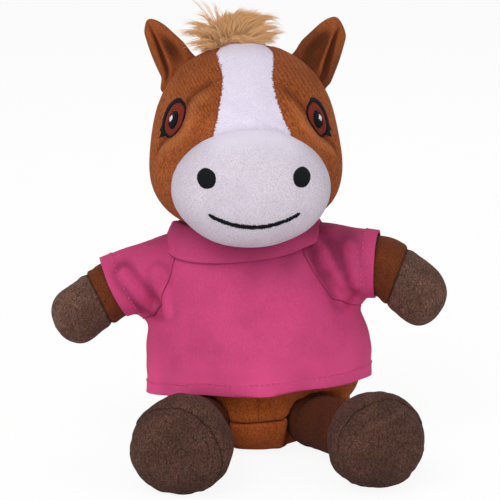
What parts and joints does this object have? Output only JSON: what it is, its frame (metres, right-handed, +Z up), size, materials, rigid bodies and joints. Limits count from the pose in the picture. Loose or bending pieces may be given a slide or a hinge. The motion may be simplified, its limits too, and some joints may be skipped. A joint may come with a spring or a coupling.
{
  "type": "plush horse",
  "caption": "Seated stuffed toy horse of short-pile fabric with hoofed limbs, sewn ears, hair tufts, an embroidered face and a plain knitted shirt.",
  "frame": {"origin": "middle of the flat seat, on the surface the toy sits on", "axes": "+Z up, -Y the way the toy faces, +X the toy's own left"},
  "size_m": [0.197, 0.1818, 0.2177],
  "materials": {
    "brown_pile": "matte",
    "dark_brown_pile": "matte",
    "hoof_pile": "matte",
    "white_pile": "matte",
    "pink_knit": "matte",
    "black_thread": "matte",
    "rust_thread": "matte",
    "white_thread": "matte",
    "tan_hair": "matte",
    "filling": "matte",
    "pellets": "matte"
  },
  "bodies": {
    "torso": {"body_front_left": "brown_pile", "body_front_right": "brown_pile", "body_back": "brown_pile", "body_seat": "brown_pile", "body_stuffing": "filling", "pellet_bag": "pellets", "shirt_sleeve_left": "pink_knit", "shirt_sleeve_right": "pink_knit", "shirt_front": "pink_knit", "shirt_back": "pink_knit", "shirt_neckband": "pink_knit"},
    "neck": {"neck_skin": "brown_pile", "neck_stuffing": "filling"},
    "head": {"head_side_left": "brown_pile", "head_side_right": "brown_pile", "head_back": "brown_pile", "blaze": "white_pile", "muzzle": "white_pile", "head_stuffing": "filling", "eye_outline_left": "black_thread", "iris_left": "rust_thread", "pupil_left": "black_thread", "glint_left": "white_thread", "nostril_left": "black_thread", "eye_outline_right": "black_thread", "iris_right": "rust_thread", "pupil_right": "black_thread", "glint_right": "white_thread", "nostril_right": "black_thread", "mouth_stitching": "black_thread", "forelock": "tan_hair", "mane": "tan_hair"},
    "left_ear": {"ear_back_left": "brown_pile", "ear_front_left": "dark_brown_pile"},
    "left_arm": {"arm_left": "dark_brown_pile", "arm_hoof_left": "hoof_pile", "arm_stuffing_left": "filling"},
    "left_leg": {"leg_left": "dark_brown_pile", "foot_wall_left": "hoof_pile", "foot_sole_left": "hoof_pile", "leg_stuffing_left": "filling"},
    "right_ear": {"ear_back_right": "brown_pile", "ear_front_right": "dark_brown_pile"},
    "right_arm": {"arm_right": "dark_brown_pile", "arm_hoof_right": "hoof_pile", "arm_stuffing_right": "filling"},
    "right_leg": {"leg_right": "dark_brown_pile", "foot_wall_right": "hoof_pile", "foot_sole_right": "hoof_pile", "leg_stuffing_right": "filling"},
    "tail": {"tail": "tan_hair"}
  },
  "joints": [
    {"name": "neck_turn", "type": "hinge", "parent": "torso", "child": "neck", "pos_m": [-0.007, 0, 0.112], "axis": [0, 0, 1], "range_deg": [-30, 30], "stiffness_Nm_per_rad": 0.05},
    {"name": "head_nod", "type": "hinge", "parent": "neck", "child": "head", "pos_m": [-0.007, 0, 0.112], "axis": [0.9969, 0.0785, 0], "range_deg": [-12, 3], "stiffness_Nm_per_rad": 0.08},
    {"name": "left_ear_flap", "type": "hinge", "parent": "head", "child": "left_ear", "pos_m": [0.02535, 0.00556, 0.18449], "axis": [-0.6799, -0.0535, 0.7314], "range_deg": [-25, 25], "stiffness_Nm_per_rad": 0.002},
    {"name": "left_shoulder", "type": "hinge", "parent": "torso", "child": "left_arm", "pos_m": [0.03238, -0.003, 0.09401], "axis": [0, -1, 0], "range_deg": [-12, 38], "stiffness_Nm_per_rad": 0.01, "deforming": ["shirt_sleeve_left"]},
    {"name": "left_hip", "type": "hinge", "parent": "torso", "child": "left_leg", "pos_m": [0.02619, -0.02804, 0.01578], "axis": [-1, 0, 0], "range_deg": [-40, 14], "stiffness_Nm_per_rad": 0.025},
    {"name": "right_ear_flap", "type": "hinge", "parent": "head", "child": "right_ear", "pos_m": [-0.03982, 0.00043, 0.18449], "axis": [-0.6799, -0.0535, -0.7314], "range_deg": [-25, 25], "stiffness_Nm_per_rad": 0.002},
    {"name": "right_shoulder", "type": "hinge", "parent": "torso", "child": "right_arm", "pos_m": [-0.04418, -0.003, 0.08799], "axis": [0, 1, 0], "range_deg": [-12, 38], "stiffness_Nm_per_rad": 0.01, "deforming": ["shirt_sleeve_right"]},
    {"name": "right_hip", "type": "hinge", "parent": "torso", "child": "right_leg", "pos_m": [-0.02619, -0.02804, 0.01578], "axis": [-1, 0, 0], "range_deg": [-40, 14], "stiffness_Nm_per_rad": 0.025},
    {"name": "tail_lift", "type": "hinge", "parent": "torso", "child": "tail", "pos_m": [0, 0.03696, 0.018], "axis": [1, 0, 0], "range_deg": [-10, 60], "stiffness_Nm_per_rad": 0.003}
  ]
}
